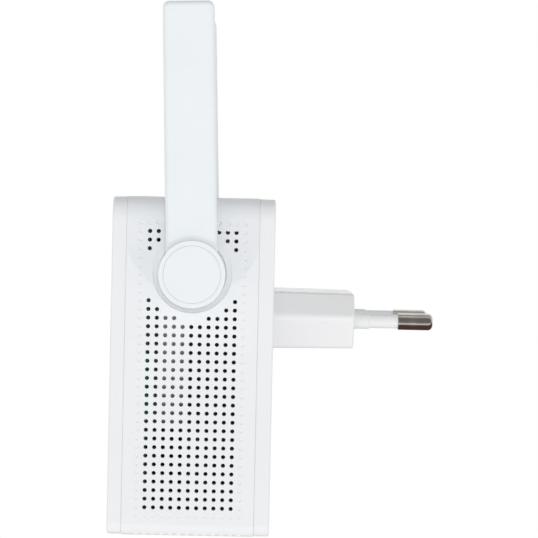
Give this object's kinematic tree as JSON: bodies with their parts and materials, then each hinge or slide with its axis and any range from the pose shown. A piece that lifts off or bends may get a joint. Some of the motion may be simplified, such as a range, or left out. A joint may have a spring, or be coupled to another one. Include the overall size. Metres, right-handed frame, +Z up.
{
  "type": "wifi range extender",
  "caption": "Plug-in wifi range extender: white vented box with a European mains plug on its back and a folding flat aerial on each side.",
  "frame": {"origin": "centre of the mains plug's face, midway between its two pins", "axes": "+Y out of the plug towards the wall, +Z up with the aerials raised, +X towards the right-hand aerial as seen from the wall; the front face looks towards -Y"},
  "size_m": [0.0728, 0.0764, 0.1236],
  "materials": {
    "case_white": "fine-textured white moulding",
    "aerial_white": "smooth satin white moulding",
    "button_white": "satin white moulding",
    "sleeve_white": "glossy white insulation",
    "plug_nickel": "bright nickel plate",
    "lens_clear": "frosted translucent moulding",
    "lamp_white": "clear-topped lamp",
    "board_green": "solder resist over glass laminate",
    "board_tan": "bare paper laminate",
    "tin_plate": "tin-plated sheet",
    "spring_steel": "hardened spring steel",
    "spring_brass": "springy brass strip",
    "gold_plate": "gold flash",
    "screw_zinc": "zinc-plated",
    "part_black": "moulded package",
    "jack_black": "moulded socket",
    "sleeve_black": "shrink sleeve",
    "sleeve_grey": "coated resistor body",
    "ferrite_black": "ground ferrite",
    "tape_yellow": "winding tape",
    "pad_grey": "soft heat pad",
    "washer_white": "hard rubber washer",
    "sheet_black": "black insulating sheet",
    "sink_grey": "bare aluminium",
    "plug_white": "smooth white moulding",
    "lead_grey": "thin coaxial lead"
  },
  "bodies": {
    "root": {"aerial_sockets": "gold_plate", "board_header": "gold_plate", "board_screws": "screw_zinc", "bridge_rectifier": "part_black", "case_screws": "screw_zinc", "contact_leaves": "spring_brass", "ethernet_jack": "jack_black", "front_cover": "case_white", "fuse_resistor": "sleeve_grey", "heat_sink": "sink_grey", "insulating_sheet": "sheet_black", "jack_contacts": "gold_plate", "left_aerial_pigtail": "lead_grey", "left_pin_sleeve": "sleeve_white", "left_plug_pin": "plug_nickel", "main_board": "board_green", "main_chip": "part_black", "mains_capacitor": "sleeve_black", "mains_choke": "ferrite_black", "middle_housing": "case_white", "output_capacitors": "sleeve_black", "pairing_switch": "part_black", "plug_body": "plug_white", "rear_cover": "case_white", "reset_switch": "part_black", "right_aerial_pigtail": "lead_grey", "right_pin_sleeve": "sleeve_white", "right_plug_pin": "plug_nickel", "shield_can": "tin_plate", "status_lamps": "lamp_white", "status_lens": "lens_clear", "supply_board": "board_tan", "thermal_pad": "pad_grey", "transformer": "ferrite_black", "transformer_winding": "tape_yellow"},
    "right_aerial": {"right_aerial_outer_shell": "aerial_white", "right_aerial_inner_shell": "aerial_white", "right_pivot_cap": "aerial_white", "right_friction_washer": "washer_white", "right_retaining_clip": "spring_steel", "right_aerial_radiator": "board_green", "right_aerial_lead": "lead_grey"},
    "left_aerial": {"left_aerial_outer_shell": "aerial_white", "left_aerial_inner_shell": "aerial_white", "left_pivot_cap": "aerial_white", "left_friction_washer": "washer_white", "left_retaining_clip": "spring_steel", "left_aerial_radiator": "board_green", "left_aerial_lead": "lead_grey"},
    "pairing_button": {"pairing_button": "button_white"},
    "reset_button": {"reset_button": "button_white"}
  },
  "joints": [
    {"name": "right_aerial_hinge", "type": "hinge", "parent": "root", "child": "right_aerial", "pos_m": [0.0278, -0.0383, 0.011], "axis": [1, 0, 0], "range_deg": [-1.9, 178.1]},
    {"name": "left_aerial_hinge", "type": "hinge", "parent": "root", "child": "left_aerial", "pos_m": [-0.0278, -0.0383, 0.011], "axis": [1, 0, 0], "range_deg": [-1.9, 178.1]},
    {"name": "pairing_button_press", "type": "slide", "parent": "root", "child": "pairing_button", "axis": [0, 1, 0], "range_m": [0, 0.00035], "stiffness_N_per_m": 600},
    {"name": "reset_button_press", "type": "slide", "parent": "root", "child": "reset_button", "axis": [0, 0, 1], "range_m": [0, 0.0003], "stiffness_N_per_m": 600}
  ]
}
